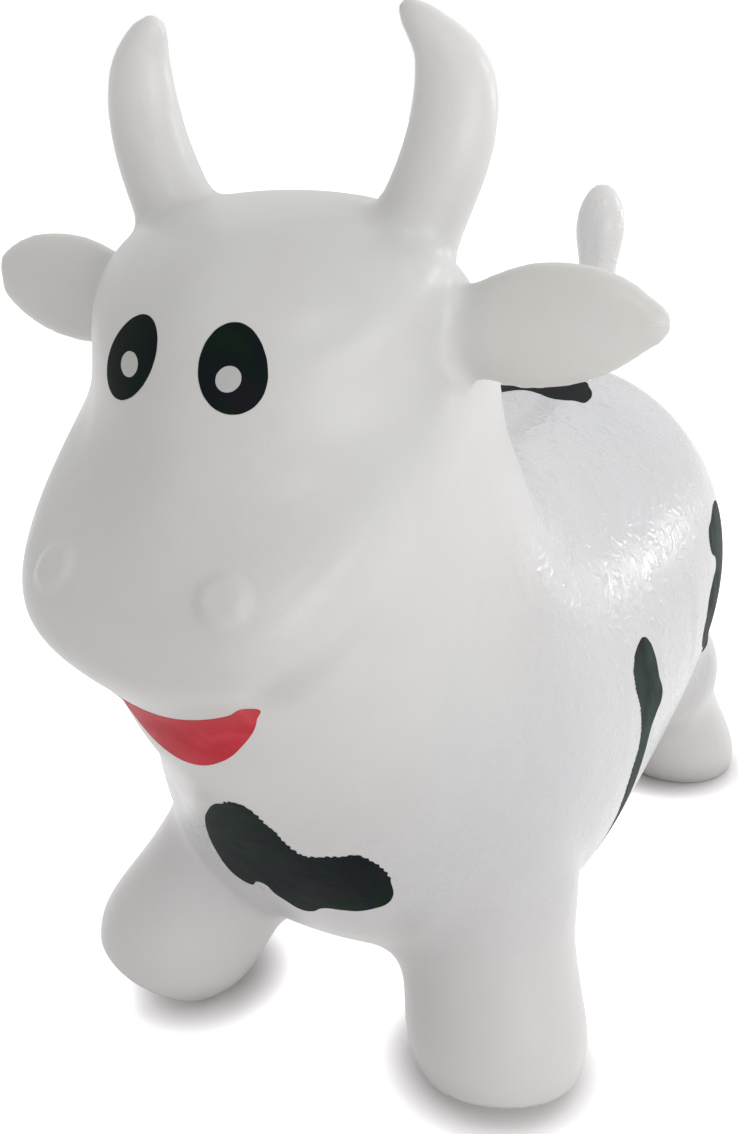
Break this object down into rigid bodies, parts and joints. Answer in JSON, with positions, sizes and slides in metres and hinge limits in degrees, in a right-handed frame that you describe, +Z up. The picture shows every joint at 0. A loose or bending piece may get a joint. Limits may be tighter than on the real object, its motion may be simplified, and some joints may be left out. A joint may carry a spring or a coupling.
{
  "type": "bouncy ride-on animal",
  "caption": "Blown vinyl ride-on cow for a small child: barrel body, stub legs, hollow horns to hold, ears, upright tail, painted patches and a belly air valve.",
  "frame": {"origin": "on the floor, under the middle of the cow's length and width", "axes": "+Z up, -Y towards the cow's muzzle, +X to the cow's left"},
  "size_m": [0.3076, 0.5896, 0.5008],
  "materials": {
    "body_vinyl": "glossy pebbled soft vinyl, white",
    "head_vinyl": "satin soft vinyl, off-white",
    "foot_vinyl": "satin soft vinyl, off-white",
    "black_paint": "stippled flexible paint, black",
    "white_paint": "flexible paint, white",
    "red_paint": "flexible paint, red",
    "valve_vinyl": "semi-gloss soft vinyl, white"
  },
  "bodies": {
    "body": {"torso_skin": "body_vinyl", "head_skin": "head_vinyl", "left_horn_root": "head_vinyl", "right_horn_root": "head_vinyl", "left_ear_root": "head_vinyl", "right_ear_root": "head_vinyl", "tail_root": "body_vinyl", "front_left_leg": "foot_vinyl", "front_right_leg": "foot_vinyl", "rear_left_leg": "foot_vinyl", "rear_right_leg": "foot_vinyl", "left_eye": "black_paint", "right_eye": "black_paint", "left_eye_glint": "white_paint", "right_eye_glint": "white_paint", "mouth": "red_paint", "chest_patch": "black_paint", "back_patch": "black_paint", "left_flank_patch": "black_paint", "right_flank_patch": "black_paint", "left_rump_patch": "black_paint", "right_rump_patch": "black_paint", "valve_collar": "valve_vinyl"},
    "left_horn_end": {"left_horn": "head_vinyl"},
    "right_horn_end": {"right_horn": "head_vinyl"},
    "left_ear_end": {"left_ear": "head_vinyl"},
    "right_ear_end": {"right_ear": "head_vinyl"},
    "tail_end": {"tail": "body_vinyl"},
    "front_left_foot_end": {"front_left_foot": "foot_vinyl"},
    "front_right_foot_end": {"front_right_foot": "foot_vinyl"},
    "rear_left_foot_end": {"rear_left_foot": "foot_vinyl"},
    "rear_right_foot_end": {"rear_right_foot": "foot_vinyl"},
    "plug": {"valve_plug": "valve_vinyl"}
  },
  "joints": [
    {"name": "left_horn_flex", "type": "hinge", "parent": "body", "child": "left_horn_end", "pos_m": [0.04675, -0.16802, 0.39671], "axis": [1, 0, 0], "range_deg": [-15, 15], "stiffness_Nm_per_rad": 2, "deforming": ["left_horn_root"]},
    {"name": "right_horn_flex", "type": "hinge", "parent": "body", "child": "right_horn_end", "pos_m": [-0.04675, -0.16802, 0.39671], "axis": [1, 0, 0], "range_deg": [-15, 15], "stiffness_Nm_per_rad": 2, "deforming": ["right_horn_root"]},
    {"name": "left_ear_flap", "type": "hinge", "parent": "body", "child": "left_ear_end", "pos_m": [0.0595, -0.17204, 0.38723], "axis": [0, 1, 0], "range_deg": [-25, 25], "stiffness_Nm_per_rad": 0.6, "deforming": ["left_ear_root"]},
    {"name": "right_ear_flap", "type": "hinge", "parent": "body", "child": "right_ear_end", "pos_m": [-0.0595, -0.17204, 0.38723], "axis": [0, 1, 0], "range_deg": [-25, 25], "stiffness_Nm_per_rad": 0.6, "deforming": ["right_ear_root"]},
    {"name": "tail_flex", "type": "hinge", "parent": "body", "child": "tail_end", "pos_m": [0, 0.27492, 0.26165], "axis": [1, 0, 0], "range_deg": [-20, 20], "stiffness_Nm_per_rad": 0.8, "deforming": ["tail_root"]},
    {"name": "front_left_foot_press", "type": "slide", "parent": "body", "child": "front_left_foot_end", "axis": [0, 0, 1], "range_m": [0, 0.012], "stiffness_N_per_m": 2500, "springref_m": -0.002, "deforming": ["front_left_leg"]},
    {"name": "front_right_foot_press", "type": "slide", "parent": "body", "child": "front_right_foot_end", "axis": [0, 0, 1], "range_m": [0, 0.012], "stiffness_N_per_m": 2500, "springref_m": -0.002, "deforming": ["front_right_leg"]},
    {"name": "rear_left_foot_press", "type": "slide", "parent": "body", "child": "rear_left_foot_end", "axis": [0, 0, 1], "range_m": [0, 0.012], "stiffness_N_per_m": 2500, "springref_m": -0.002, "deforming": ["rear_left_leg"]},
    {"name": "rear_right_foot_press", "type": "slide", "parent": "body", "child": "rear_right_foot_end", "axis": [0, 0, 1], "range_m": [0, 0.012], "stiffness_N_per_m": 2500, "springref_m": -0.002, "deforming": ["rear_right_leg"]},
    {"name": "valve_plug_pull", "type": "slide", "parent": "body", "child": "plug", "axis": [0, 0, -1], "range_m": [0, 0.018]}
  ]
}
